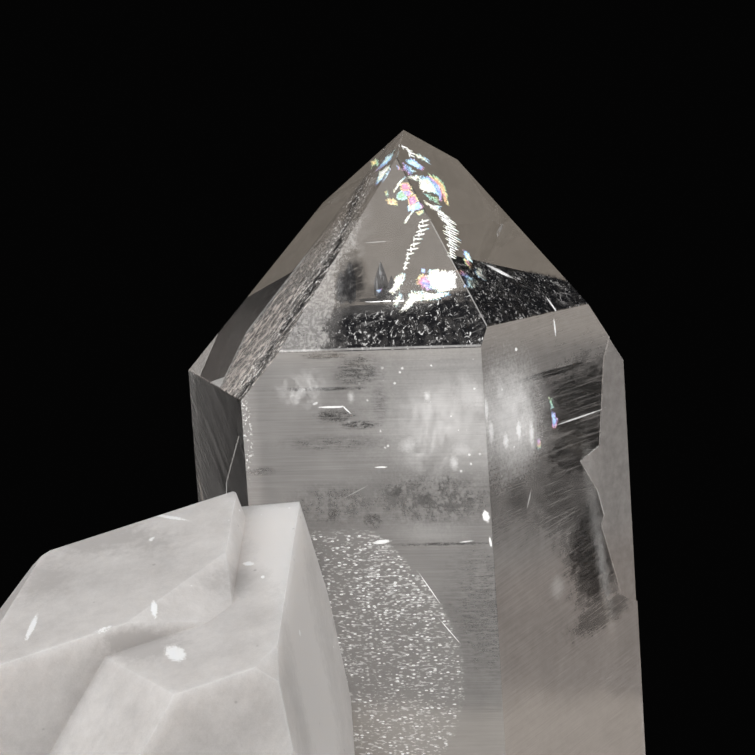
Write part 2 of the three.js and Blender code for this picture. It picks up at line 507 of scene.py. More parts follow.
healed = {
    "edge": 0.08,
    "stagger": 0.5,  # of the gap between two
    "buried": (1.2, 2.8),  # how many widths it reaches into its host
    "sides": (0.82, 1.18),  # least and most, as shares of the width
    "blunt": 0.35,  # how far back a face of the tip may stand, as a share of the width
}


def spread(count, seed):
    # a repeatable number from 0 to 1: the fraction left over by count x 0.618034 + seed x 0.347
    return (count * 0.618034 + seed * 0.347) % 1


def between(limits, share):
    return limits[0] + (limits[1] - limits[0]) * share


def smallCrystal(width, length, n):
    count = n + np.arange(6)
    sides = width * between(healed["sides"], spread(count, 2))
    reaches = np.where(np.arange(6) % 2 == n % 2, 0, width * healed["blunt"] * spread(count, 3))
    return {"sides": sides, "reaches": reaches, "length": length, "lowerReaches": reaches}


def outlineAt(sides, direction):
    # how far the nearest side is in one direction from the axis: the least side / cos(direction - turn)
    facing = np.cos(np.radians(direction - turns))
    return np.min(np.where(facing > 0.05, np.array(sides) / np.maximum(facing, 0.05), np.inf))


def lowEdge(host, place, direction, away):
    # the higher of the crystal's lower face and the rest plane, up the axis, at one distance from it
    nearest = int(np.argmin(np.abs((turns - direction + 540) % 360 - 180)))
    rise = np.radians(tipRise)
    lower = (away * np.cos(rise) - host["lowerReaches"][nearest]) / np.sin(rise) - host["length"]
    edge = place @ Vector(faceNormal(direction, 0) * away)
    axis = place.to_3x3() @ Vector((0, 0, 1))
    return max(lower, -edge.z / axis.z)


def footPieces():
    # the rings of small points round both crystals, then the larger ones listed
    for ring in healedRings:
        host, place = (clearCrystal, clearPlace) if ring["on"] == "clear" else (milkyCrystal, milkyPlace)
        for n in range(ring["count"]):
            direction = ring["from"] + 360 / ring["count"] * (n + healed["stagger"] * spread(n, 1))
            edge = outlineAt(host["sides"], direction)
            low = faceNormal(direction, 0) * edge
            low[2] = lowEdge(host, place, direction, edge)
            if (place @ Vector(low)).z > ring["overhang"]:
                continue
            width = between(ring["widths"], spread(n, 6))
            height = between(ring["heights"], spread(n, 5))
            away = edge - width * ring["sunk"]
            tip = faceNormal(direction, 0) * away
            tip[2] = lowEdge(host, place, direction, away) + height
            length = height + width * between(healed["buried"], spread(n, 4))
            yield smallCrystal(width, length, n), place @ Matrix.Translation(tip)
    for n, (tip, pose, width, length) in enumerate(footCrystals):
        at = np.add(tip, clearCrystal["tip"])
        yield smallCrystal(width, length, n), placing(pose, at)


def crystalGroup(name, crystals):
    # many small crystals in one mesh
    corners, faces, start = [], [], 0
    for crystal, place in crystals:
        newCorners, newFaces = grown(crystal, place)
        if len(newCorners) < 4:
            continue
        corners.append(newCorners)
        faces += [[start + i for i in face] for face in newFaces]
        start += len(newCorners)
    piece = pieceFrom(name, np.concatenate(corners), faces)
    recalculated(piece)
    return piece


healedPoints = crystalGroup("healed_points", footPieces())
wornEdges(healedPoints, healed["edge"])

foot = {
    "inset": 0.5,  # how far inside the clear crystal's sides the milky foot stays
    "bottom": 0.4,
    "top": 16.0,
    "rim": 14.0,  # how much higher it stands along the sides
    "waves": 0.4,
    "fall": 1.4,  # how the top draws in towards its middle
    "around": 144,
    "rows": 33,
}


def milkyFoot():
    # a surface of direction u and height v: from the bottom's middle out to the crystal's outline less the
    # inset, up the wall, then in over a wavy top that rises towards the sides by the square of what is left
    u = np.linspace(0, 2 * np.pi, foot["around"], endpoint=False)
    v = np.linspace(0, 1, foot["rows"])[:, None]
    outline = np.array([outlineAt(clearCrystal["sides"], np.degrees(a)) for a in u]) - foot["inset"]
    wall = np.clip(v * 3 - 1, 0, 1)
    crown = np.clip(v * 3 - 2, 0, 1)
    radius = outline * np.where(v < 1 / 3, v * 3, 1 - crown ** foot["fall"])
    x, y = np.sin(u) * radius, -np.cos(u) * radius
    wave = (np.sin(x * 0.42 + 1.3) * np.cos(y * 0.36 - 0.4) + 0.5 * np.sin(x * 0.9 - y * 0.7) +
            0.35 * np.cos(x * 1.7 + y * 1.3 + 2))
    top = foot["top"] + foot["rim"] * (1 - crown) ** 2 + foot["waves"] * wave
    height = foot["bottom"] + wall * (top - foot["bottom"])
    # each point slides along the crystal's axis to its height in the row
    base = np.array(clearPlace.to_3x3())
    axisAtRest = np.array(clearPlace @ Vector((0, 0, -clearCrystal["tip"][2])))
    lean = base[:, 2] / base[2, 2]
    level = np.stack([x, y, 0 * x], -1) @ base.T
    points = axisAtRest + level + lean * (height[..., None] - level[..., 2:] - axisAtRest[2])
    # the first and last rows are poles, closed with fans
    rows, columns = foot["rows"] - 2, foot["around"]
    flat = points[1:-1].reshape(-1, 3)
    poles = np.array([points[0].mean(0), points[-1].mean(0)])
    i, j = np.meshgrid(np.arange(rows - 1), np.arange(columns), indexing="ij")
    k = (j + 1) % columns
    quads = np.stack([i * columns + j, i * columns + k, (i + 1) * columns + k, (i + 1) * columns + j], -1)
    n, last = len(flat), (rows - 1) * columns
    ring = range(columns)
    fans = [[n, (c + 1) % columns, c] for c in ring]
    fans += [[n + 1, last + c, last + (c + 1) % columns] for c in ring]
    piece = pieceFrom("milky_foot", np.concatenate([flat, poles]), quads.reshape(-1, 4).tolist() + fans)
    recalculated(piece)
    piece.data.polygons.foreach_set("use_smooth", np.ones(len(piece.data.polygons), bool))
    return piece


footPiece = milkyFoot()

print("veils and fractures inside")

# Places inside the clear crystal are in its own frame, from its tip. A sheet has a middle, a turn and a rise
# that it faces, a width and a height, the height of its waves, and a seed.
milkyClouds = [
    ((5.6, -12.5, -38.5), 0, 0, 13, 14, 0.8, 1),
    ((4.0, -9.5, -41.0), 12, 8, 16, 17, 1.0, 2),
    ((7.5, -5.0, -39.0), -14, -6, 16, 18, 1.2, 3),
    ((14.2, -7.4, -38.6), 58, 4, 9.5, 13, 0.8, 4),
    ((12.6, -6.6, -41.0), 66, -5, 10, 15, 1.0, 5),
    ((9.5, 0.0, -41.0), 40, 10, 15, 18, 1.2, 6),
    ((-13.0, -14.5, -34.0), -8, 5, 11, 9, 0.6, 7),
]

glitterVeils = [
    # the healed fracture along the left edge of the front, then the flecks behind the front
    ((-9.5, -5.6, -17.5), 300, 34, 6.0, 36, 0.5, 11),
    ((3.0, -7.5, -23.6), 4, 20, 15, 6.0, 0.5, 13),
    ((10.5, -5.6, -21.5), 50, 24, 8, 6.0, 0.4, 14),
]

brightFlakes = [
    # films of air in healed cracks, each under one face: the face's turn, 1 on the pyramid or 0 on the side,
    # how ragged it is in millimetres, how solid, its colours from and to, their direction, and its outline as
    # distances across the face and up the axis
    (0, 1, 0.14, 0.9, (0.46, 0.2), -140, [(-0.7, -4.6), (-1.1, -5.4), (-1.4, -6.1), (-2.2, -6.6),
     (-1.7, -5.8), (-1.2, -5.0)]),
    (300, 1, 0.25, 1.0, (0.05, 0.32), -70, [(3.5, -4.7), (4.2, -5.0), (4.2, -5.8), (4.0, -6.7), (2.7, -7.5),
     (2.4, -7.0), (1.6, -6.2), (0.8, -5.6), (2.2, -5.1)]),
    (300, 1, 0.4, 0.3, (0.05, 0.34), -80, [(1.6, -2.8), (2.4, -3.4), (2.0, -4.5), (0.1, -5.5), (-0.9, -5.6),
     (-0.5, -4.9), (-0.3, -3.8)]),
    (300, 1, 0.4, 0.3, (0.5, 0.78), 0, [(-6.0, -4.6), (-3.0, -4.3), (-1.0, -4.9), (-3.7, -5.3)]),
    (0, 1, 0.12, 0.8, (0.56, 0.6), 0, [(0.5, -6.9), (1.2, -6.7), (1.9, -6.9), (2.4, -7.7), (1.8, -8.1),
     (0.8, -7.9)]),
    (0, 1, 0.12, 0.85, (0.84, 0.93), -40, [(0.1, -8.3), (0.8, -7.8), (1.5, -8.1), (1.8, -9.0), (1.0, -9.2),
     (0.2, -8.9)]),
    (0, 1, 0.12, 0.9, (0.47, 0.54), 0, [(0.8, -7.8), (2.1, -7.7), (2.6, -8.3), (2.0, -8.8), (1.3, -8.5)]),
    (0, 1, 0.12, 0.95, (0.52, 0.61), -30, [(1.8, -8.8), (2.9, -8.3), (3.4, -9.3), (2.8, -9.9),
     (2.0, -10.0)]),
    (0, 1, 0.12, 1.0, (0.2, 0.4), 0, [(2.6, -9.6), (3.5, -9.3), (4.1, -10.2), (3.6, -10.5), (2.7, -10.6),
     (1.9, -10.6), (1.7, -10.0)]),
    (0, 1, 0.12, 0.8, (0.64, 0.7), 0, [(3.0, -10.8), (3.6, -10.6), (4.2, -10.5), (4.2, -10.9), (3.6, -11.2),
     (3.2, -11.1)]),
    (0, 1, 0.25, 0.35, (0.52, 0.6), 0, [(-1.2, -8.9), (-0.2, -8.7), (0.4, -9.3), (0.3, -9.8), (-0.7, -9.7),
     (-1.1, -9.4)]),
    (0, 1, 0.2, 0.2, (0.5, 0.8), 0, [(-1.6, -7.7), (-1.2, -7.6), (-0.9, -8.4), (-1.3, -8.6)]),
    (0, 1, 0.1, 0.4, (0.02, 0.2), 0, [(-0.4, -7.9), (0.1, -7.0), (1.2, -6.0), (1.4, -6.1), (0.5, -7.2),
     (-0.2, -8.2)]),
    (0, 1, 0.1, 0.6, (0.2, 0.72), 0, [(0.0, -4.5), (0.3, -4.6), (0.6, -5.1), (0.2, -5.1)]),
    (60, 1, 0.22, 0.25, (0.02, 0.2), 0, [(-0.8, -3.3), (0.4, -3.6), (1.6, -4.5), (1.2, -5.1), (0.7, -4.7),
     (-0.5, -4.0)]),
    (60, 1, 0.2, 0.8, (0.19, 0.37), -40, [(-3.0, -4.0), (-1.7, -3.8), (-1.0, -4.5), (-0.4, -5.3),
     (-1.2, -5.7), (-2.0, -5.2), (-3.0, -4.5)]),
    (60, 1, 0.25, 0.12, (0.45, 0.02), 0, [(-3.9, -4.2), (-3.3, -4.6), (-2.4, -5.6), (-3.8, -6.0),
     (-4.6, -5.2)]),
    (60, 1, 0.25, 0.35, (0.02, 0.14), 0, [(-4.7, -6.1), (-3.4, -6.1), (-1.7, -6.3), (-2.7, -6.8),
     (-4.3, -6.6)]),
    (60, 1, 0.18, 1.0, (-0.02, 0.34), 0, [(-2.7, -6.8), (-1.6, -6.4), (-0.6, -6.5), (-0.3, -7.3),
     (-0.3, -8.4), (-0.8, -9.2), (-1.5, -8.9), (-2.5, -8.5), (-3.5, -8.3), (-3.9, -7.8)]),
    (60, 1, 0.1, 1.0, (0.36, 0.45), 0, [(-0.5, -6.4), (0.1, -6.9), (0.3, -8.0), (-0.2, -9.2), (-1.3, -10.1),
     (-1.5, -9.8), (-0.6, -9.0), (-0.2, -7.5), (-0.6, -6.7)]),
    (60, 1, 0.25, 0.85, (0.56, 0.74), 10, [(-0.4, -6.3), (0.7, -6.6), (1.5, -7.5), (1.1, -8.7), (0.3, -9.7),
     (-0.3, -10.7), (-0.8, -10.3), (-0.2, -9.2), (0.3, -8.0), (0.1, -6.9)]),
    (60, 1, 0.2, 0.1, (0.82, 0.58), 0, [(-3.6, -8.5), (-2.5, -8.8), (-1.2, -9.5), (-2.0, -10.2),
     (-3.1, -9.6)]),
    (60, 1, 0.22, 0.35, (0.0, 0.2), 0, [(-4.3, -9.4), (-3.6, -10.1), (-1.7, -10.5), (-2.5, -10.9),
     (-3.7, -10.7), (-4.4, -10.0)]),
    (0, 1, 0.12, 0.5, (0.05, 0.12), 0, [(2.8, -10.6), (2.1, -11.6), (1.7, -12.3), (1.3, -12.1),
     (1.9, -11.3), (2.5, -10.6)]),
    (0, 1, 0.18, 0.95, (0.2, -0.1), 20, [(5.4, -18.3), (8.9, -18.6), (9.2, -19.3), (9.2, -20.6),
     (8.6, -21.1), (7.0, -21.4), (5.6, -20.8), (4.6, -19.6)]),
    (0, 1, 0.25, 0.5, (0.62, 0.24), -40, [(3.7, -19.1), (4.9, -18.9), (5.8, -20.2), (5.8, -21.0),
     (4.4, -20.7), (3.4, -20.0)]),
    (0, 1, 0.22, 0.6, (0.02, 0.2), 0, [(4.6, -21.1), (5.8, -21.4), (8.6, -21.3), (8.4, -21.7), (6.6, -22.2),
     (5.0, -22.4), (4.2, -22.0)]),
    (0, 1, 0.28, 0.6, (0.0, 0.14), 30, [(2.9, -21.1), (4.1, -20.9), (5.2, -21.6), (4.5, -22.3),
     (3.6, -22.5), (2.6, -23.4), (1.7, -23.9), (1.4, -23.6), (2.1, -22.6), (2.4, -21.8)]),
    (0, 1, 0.22, 0.55, (0.0, 0.12), 0, [(1.1, -18.6), (2.1, -19.0), (1.6, -19.9), (1.1, -20.8),
     (0.3, -21.4), (-0.4, -21.0), (0.4, -20.5), (0.4, -19.6)]),
    (0, 1, 0.25, 0.3, (0.0, 0.2), 0, [(1.3, -21.1), (1.8, -21.5), (1.3, -22.4), (0.9, -23.1), (0.5, -22.7),
     (0.8, -21.8)]),
    (0, 1, 0.1, 0.7, (0.26, 0.32), 0, [(4.2, -18.1), (4.8, -18.3), (4.7, -18.8), (4.2, -18.7)]),
    (0, 1, 0.12, 0.5, (0.26, 0.34), 0, [(-2.0, -20.8), (-1.3, -20.6), (-1.3, -21.0), (-1.7, -21.2)]),
    (60, 1, 0.18, 0.8, (0.36, 0.12), -60, [(-2.8, -16.2), (-2.2, -16.8), (-2.4, -17.4), (-2.6, -18.0),
     (-3.4, -17.7), (-3.3, -16.9)]),
    (60, 1, 0.2, 0.55, (0.72, 0.45), 0, [(-3.9, -17.4), (-3.0, -17.7), (-3.0, -18.5), (-3.8, -18.8),
     (-4.2, -18.2)]),
    (60, 1, 0.14, 0.9, (0.28, 0.05), 0, [(-2.5, -18.7), (-1.7, -19.0), (-2.2, -19.7), (-1.8, -20.5),
     (-2.6, -20.6), (-3.4, -19.8), (-3.5, -19.2)]),
    (60, 1, 0.25, 0.3, (0.5, 0.0), -60, [(-6.3, -18.7), (-5.3, -18.9), (-4.6, -19.6), (-3.7, -20.6),
     (-5.1, -21.2), (-6.9, -20.8), (-6.0, -20.1)]),
    (60, 0, 0.22, 0.6, (0.28, 0.42), -90, [(5.0, -39.6), (5.9, -40.0), (6.3, -41.2), (5.8, -42.2),
     (5.0, -42.0), (5.2, -40.8)]),
    (60, 0, 0.22, 0.15, (0.6, 0.85), -90, [(4.6, -37.6), (5.4, -37.8), (5.8, -39.2), (5.0, -39.3)]),
    (60, 0, 0.15, 0.5, (0.24, 0.84), -90, [(1.6, -43.0), (2.3, -43.1), (2.5, -44.2), (1.8, -44.5)]),
]

crackRibs = [
    # rows of short cracks: face, their path, the longest rib's length along the path, count, tilt, seed
    (0, 1, [(4.3, -12.0), (4.1, -13.2), (3.5, -14.3), (2.8, -15.6), (2.2, -16.8), (1.9, -18.0)],
     [2.6, 2.3, 1.7, 1.4, 1.0, 0.7], 11, 4, 31),
    (60, 1, [(-3.3, -10.4), (-2.2, -11.8), (-2.5, -13.2), (-3.4, -14.5), (-4.5, -15.7), (-5.7, -16.9)],
     [1.6, 2.3, 2.4, 2.2, 1.8, 1.0], 22, -38, 32),
    (60, 1, [(-1.6, -2.4), (-0.9, -3.1), (-1.3, -3.6)], [1.2, 1.6, 1.2], 4, -20, 33),
]


def onClear(turn, upper, across, up, depth):
    # the point under one face of the clear crystal, from its distances across the face and up the axis
    side = int(turn / 60)
    rise = np.radians(clearCrystal["rises"][side]) if upper else 0.0
    reach = clearCrystal["reaches" if upper else "sides"][side] - depth
    outward = (reach - up * np.sin(rise)) / np.cos(rise)
    turn = np.radians(turn)
    x = across * np.cos(turn) + outward * np.sin(turn)
    y = across * np.sin(turn) - outward * np.cos(turn)
    return x, y, up


def facing(turn, rise):
    # the directions across a sheet and up it, and the one that it faces
    normal = faceNormal(turn, rise)
    across = np.array([np.cos(np.radians(turn)), np.sin(np.radians(turn)), 0])
    return across, np.cross(normal, across), normal


def keptInside(points, room=0.35):
    # moves points that come too near a face of the clear crystal back along its normal
    normals, reaches = closedAtRest(*crystalPlanes(clearCrystal, clearPlace))
    for normal, reach in zip(normals, reaches):
        over = np.maximum(points @ normal - (reach - room), 0)
        points = points - over[:, None] * normal
    return points


def intoRow(points):
    # from the clear crystal's frame to the row's
    return points @ np.array(clearPlace.to_3x3()).T + np.array(clearPlace.translation)


def wavySheet(middle, turn, rise, width, height, wave, seed, cells=28):
    # middle + s across + t up + wave (sin(a s + b t) + sin(c s - d t) / 2) normal, for s and t from -1 to 1
    draws = np.random.default_rng(seed).uniform(2.0, 6.0, 6)
    across, up, normal = facing(turn, rise)
    s, t = np.meshgrid(np.linspace(-1, 1, cells), np.linspace(-1, 1, cells))
    bow = (np.sin(draws[0] * s + draws[1] * t + draws[2]) +
           0.5 * np.sin(draws[3] * s * 2 - draws[4] * t * 2 + draws[5]))
    points = (np.array(middle) + s[..., None] * across * width / 2 + t[..., None] * up * height / 2 +
              (bow * wave / 2)[..., None] * normal).reshape(-1, 3)
    spots = np.stack([s, t], -1).reshape(-1, 2) / 2 + 0.5
    return keptInside(intoRow(points)), gridFaces(cells, cells), spots


def gridFaces(rows, columns):
    i, j = np.meshgrid(np.arange(rows - 1), np.arange(columns - 1), indexing="ij")
    first = i * columns + j
    return np.stack([first, first + 1, first + columns + 1, first + columns], -1).reshape(-1, 4)


def flake(turn, upper, ragged, solid, tones, angle, outline, depth=0.4, rings=5, steps=73):
    # middle + r (rim - middle) for r up to 1; the rim goes round the outline, pushed in and out by draws
    outline = np.array(list(outline) + [outline[0]])
    along = np.concatenate([[0], np.cumsum(np.hypot(*np.diff(outline, axis=0).T))])
    t = np.linspace(0, along[-1], steps)
    rim = np.stack([np.interp(t, along, outline[:, k]) for k in (0, 1)], -1)
    middle = rim[:-1].mean(0)
    seed = int(abs(rim.sum()) * 100) % 9973  # from the outline, so that each flake has its own
    draws = np.random.default_rng(seed).uniform(-1, 1, steps)
    draws[-1] = draws[0]
    away = rim - middle
    rim = middle + away * (1 + ragged * draws / np.maximum(np.hypot(*away.T), 0.3))[:, None]
    r = np.linspace(0.02, 1, rings)[:, None]
    flat = middle + r[..., None] * (rim - middle)
    direction = np.array([np.cos(np.radians(angle)), np.sin(np.radians(angle))])
    share = (flat - middle) @ direction
    share = (share - share.min()) / np.ptp(share)
    spots = np.stack([(1 - solid) + r * solid + 0 * share, between(tones, share)], -1)
    points = np.stack(onClear(turn, upper, flat[..., 0], flat[..., 1], depth), -1)
    return keptInside(intoRow(points.reshape(-1, 3))), gridFaces(rings, steps), spots.reshape(-1, 2)


rib = {
    "longer": 0.35,  # how much longer or shorter a rib may be, as a share
    "askew": 10,  # degrees
    "halfHeight": 0.13,
    "tieLength": 0.62,  # of the gap between two ribs
    "tieHalfHeight": 0.12,
    "tieAt": (0.2, 0.6),  # from a rib's middle towards its left end, at least and at most beyond that
    "points": 12,
    "ragged": 0.06,
}


def ribs(turn, upper, path, lengths, count, tilt, seed):
    # thin ovals side by side along the path, each tied to the next by a short one nearer its left end
    draws = np.random.default_rng(seed).uniform(-1, 1, (count, 4))
    knots = np.linspace(0, 1, len(path))
    where = np.linspace(0, 1, count)
    middles = np.stack([np.interp(where, knots, np.array(path)[:, k]) for k in (0, 1)], -1)
    gap = np.hypot(*(middles[1] - middles[0]))
    halves = np.interp(where, knots, lengths) / 2 * (1 + rib["longer"] * draws[:, 1])
    angles = np.radians(tilt + draws[:, 0] * rib["askew"])
    directions = np.stack([np.cos(angles), np.sin(angles)], -1)
    least, beyond = rib["tieAt"]
    ties = middles - directions * (halves * (least + beyond * draws[:, 2] ** 2))[:, None]
    around = np.linspace(0, 2 * np.pi, rib["points"], endpoint=False)
    for middle, tie, half, angle, draw in zip(middles, ties, halves, angles, draws):
        tones = (0.02, 0.10 + 0.12 * draw[3])
        ovals = ((middle, half, rib["halfHeight"], angle, 0.95),
                 (tie, gap * rib["tieLength"], rib["tieHalfHeight"], angle - np.pi / 2, 0.9))
        for at, length, thick, lean, solid in ovals:
            long, short = length * np.cos(around), thick * np.sin(around)
            outline = np.stack([at[0] + long * np.cos(lean) - short * np.sin(lean),
                                at[1] + long * np.sin(lean) + short * np.cos(lean)], -1)
            yield turn, upper, rib["ragged"], solid, tones, 20, outline


def sheetsPiece(name, sheets, build=wavySheet):
    points, quads, spots, start = [], [], [], 0
    for values in sheets:
        newPoints, newQuads, newSpots = build(*values)
        points.append(newPoints)
        quads.append(newQuads + start)
        spots.append(newSpots)
        start += len(newPoints)
    points, quads, spots = np.concatenate(points), np.concatenate(quads), np.concatenate(spots)
    piece = pieceFrom(name, points, quads.tolist())
    piece.data.uv_layers.new(name="sheet").uv.foreach_set("vector", spots[quads.reshape(-1)].ravel())
    piece.data.polygons.foreach_set("use_smooth", np.ones(len(quads), bool))
    return piece


cloudPiece = sheetsPiece("milky_clouds", milkyClouds)
glitterPiece = sheetsPiece("healed_fractures", glitterVeils)
ribFlakes = [values for row in crackRibs for values in ribs(*row)]
flakePiece = sheetsPiece("bright_fractures", brightFlakes + ribFlakes, flake)

innerCrystals = [
    # tip in the clear crystal's frame, width from axis to side, length
    ((-2.6, -5.8, -18.6), 0.85, 6.0),
    ((-7.0, -6.4, -18.2), 0.7, 6.5),
    ((-8.1, -7.0, -19.4), 0.9, 5.0),
    ((-1.0, -6.4, -20.6), 0.5, 4.0),
]
innerRises = (16,) * 6  # of the faces of their blunt tips
innerPiece = crystalGroup("inner_crystals", [
    ({**smallCrystal(width, length, n), "rises": innerRises}, clearPlace @ Matrix.Translation(tip))
    for n, (tip, width, length) in enumerate(innerCrystals)])

print("finishes")

glass = {
    "ior": 1.545,
    "roughness": 0.0,
    "tint": (0.97, 0.965, 0.95, 1),
    "density": 1.5,
    "lampLight": (0.93, 0.93, 0.92, 1),  # what a face lets through from a lamp
}

clearTurned = clearPlace.to_3x3().to_euler("XYZ")
milkyTurned = milkyPlace.to_3x3().to_euler("XYZ")


def inShadowClear(sheet, surface):
    # lamps reach what lies inside the glass
    ray = sheet.node("LightPath", output="Is Shadow Ray")
    clear = sheet.node("BsdfTransparent", None, {"Color": glass["lampLight"]})
    return sheet.mixed(ray, surface, clear)


haze = {
    "front": 0.46,
    "right": 0.29,
    "rightBand": 0.46,
    "left": 0.12,
    "upperFront": 0.15,
    "upperLeft": 0.025,
    "hillocks": 0.42,
    "colour": (0.70, 0.665, 0.64, 1),
    "warm": (0.64, 0.565, 0.52, 1),
    "dark": (0.012, 0.012, 0.014, 1),
    "glint": (1.0, 0.99, 0.985, 1),
    "glow": 0.35,  # how much a glint shines by itself
    "glintCover": 0.65,  # how much of the glass a glint hides
    "roughness": 0.42,
    "glintSmoother": 0.2,
    "darkSmoother": 0.37,
    "bump": 0.35,
    "bumpHeight": 0.12,
}

skin = {
    # how far under its plane a face's haze reaches
    "face": 0.12,
    "sunkLayer": 0.95,  # the right side, down to its sunk layer
    "aboveLayer": 0.3,
    "edge": 0.10,
    "rim": 0.07,
}

# Patches on the clear crystal's faces. A face is its turn and 1 on the pyramid or 0 on the side. A patch is
# its place across the face and up the axis, half width, half height, tilt, and how strong it is. First come
# zones where the haze breaks up and the glass shows dark.
clearWindows = {
    (0, 0): [
        (-8.6, -29.0, 3.0, 0.38, 0, 0.9),
        (-4.4, -31.2, 3.0, 2.0, 12, 0.8),
        (-9.6, -33.6, 5.6, 0.26, 0, 0.9),
        (-7.9, -37.4, 2.4, 0.8, 0, 0.9),
        (-4.6, -38.7, 2.2, 0.5, 0, 1.1),
        (-1.6, -35.6, 1.0, 2.4, 0, 0.45),
        (-8.0, -41.2, 7.0, 1.0, 0, 0.4),
        (-19.4, -45.0, 2.3, 0.5, 2, 0.7),
        (-9.0, -50.0, 6.0, 3.0, 0, 0.55),
        (5.0, -49.4, 8.6, 3.6, 0, 0.7),
        (6.7, -47.2, 1.0, 1.5, -30, 1.0),
        (0.0, -48.2, 2.0, 1.3, 0, 0.8),
        (-9.3, -51.1, 0.8, 1.0, 0, 1.0),
        (-3.7, -52.2, 1.4, 1.2, 0, 0.8),
        (10.2, -49.4, 1.6, 1.8, 0, 0.7),
        (6.5, -55.6, 6.2, 0.22, 0, 0.9),
        (11.5, -65.0, 4.5, 9.0, 0, 0.45),
    ],
    (60, 0): [
        (11.4, -39.4, 7.6, 5.2, 3, 1.0),
        (11.0, -45.8, 6.4, 3.0, 3, 1.5),
        (7.0, -34.2, 6.6, 0.45, 1, 1.3),
        (8.5, -52.0, 6.5, 6.5, 4, 0.6),
        (12.5, -60.5, 5.5, 8.0, 4, 1.1),
        (-3.2, -50.4, 1.9, 2.6, 4, 0.45),
        (13.0, -70.5, 6.0, 2.0, 10, 0.6),
    ],
}

# painted highlights: white marks, some on chips, that shine by a glow of their own
brightMarks = {
    (0, 0): [
        (-8.4, -36.15, 1.75, 0.13, 0, 1.0),
        (-6.3, -36.6, 0.75, 0.1, -45, 1.0),
        (-10.7, -35.6, 0.4, 0.16, 20, 0.6),
        (-2.0, -44.7, 0.85, 0.11, 0, 1.0),
        (-2.6, -55.2, 1.2, 0.26, 6, 1.0),
        (12.3, -51.8, 0.42, 0.8, 12, 1.0),
        (12.7, -55.4, 0.16, 0.7, 6, 1.0),
        (-5.8, -48.1, 1.7, 0.06, 26, 0.3),
        (9.4, -55.3, 0.9, 0.1, 6, 0.7),
        (3.8, -61.9, 2.4, 0.07, -58, 1.0),
        (6.2, -67.9, 2.0, 0.07, -52, 1.0),
    ],
    (0, 1): [
        (-2.2, -14.4, 1.6, 0.06, 2, 0.5),
    ],
    (60, 0): [
        (6.6, -28.0, 0.14, 1.2, 5, 1.0),
        (-1.8, -29.8, 0.25, 0.25, 0, 1.0),
        (10.6, -41.45, 5.0, 0.11, 3, 1.0),
        (-0.9, -51.0, 0.12, 1.2, -24, 0.5),
    ],
    (60, 1): [
        (6.9, -24.9, 0.16, 1.0, 5, 1.0),
        (1.1, -19.6, 1.8, 0.26, -34, 1.0),
    ],
}

whiteGlows = {
    # soft white patches inside, behind the face, painted on it as glints with a glow of their own
    (0, 0): [
        (7.6, -37.0, 10.0, 7.5, 0, 0.17),
        (10.9, -34.8, 2.8, 2.2, 0, 0.3),
        (4.1, -36.7, 1.7, 1.2, 30, 0.26),
        (2.0, -41.6, 1.3, 1.0, 20, 0.36),
        (9.5, -42.5, 1.5, 0.9, -20, 0.32),
        (8.3, -44.3, 0.5, 0.9, 0, 0.5),
        (5.1, -35.0, 0.5, 0.7, 0, 0.55),
        (-5.6, -34.8, 0.4, 0.7, 0, 0.4),
        (4.6, -53.6, 3.8, 1.5, 0, 0.12),
    ],
    (60, 0): [
        (-4.2, -38.8, 5.0, 6.4, 0, 0.5),
        (-5.6, -35.2, 1.3, 1.5, 0, 0.55),
        (-2.2, -41.0, 0.55, 1.4, 0, 1.0),
        (0.4, -41.8, 0.5, 1.7, 0, 0.9),
        (-5.0, -42.0, 0.6, 1.2, 0, 0.9),
        (-8.7, -36.9, 0.5, 1.6, 0, 0.8),
        (-7.9, -40.3, 0.6, 1.7, 0, 0.8),
        (4.0, -64.5, 1.2, 1.3, 0, 0.2),
    ],
}

darkZones = {
    # painted shade: hollows seen through the pyramid, painted dark
    (0, 1): [
        (-5.6, -19.4, 1.9, 2.9, 0, 0.85),
        (-5.2, -25.0, 2.8, 2.4, 0, 0.6),
        (-2.2, -21.8, 1.6, 1.6, 0, 0.5),
    ],
}

# one streak of painted glints, one patch where the hillocks' painted glints lie close, and two places with
# painted sparks in the cloud
leftEdgeGlints = {(0, 0): [(-21.0, -39.5, 1.0, 6.5, 0, 1.0)]}
denseHillocks = {(0, 0): [(-0.5, -61.0, 7, 7, 0, 1.0)]}
sparkPlaces = {(0, 0): [(8.0, -37.5, 12, 9, 0, 1.0)], (60, 0): [(-4.0, -38.5, 6, 8, 0, 1.0)]}


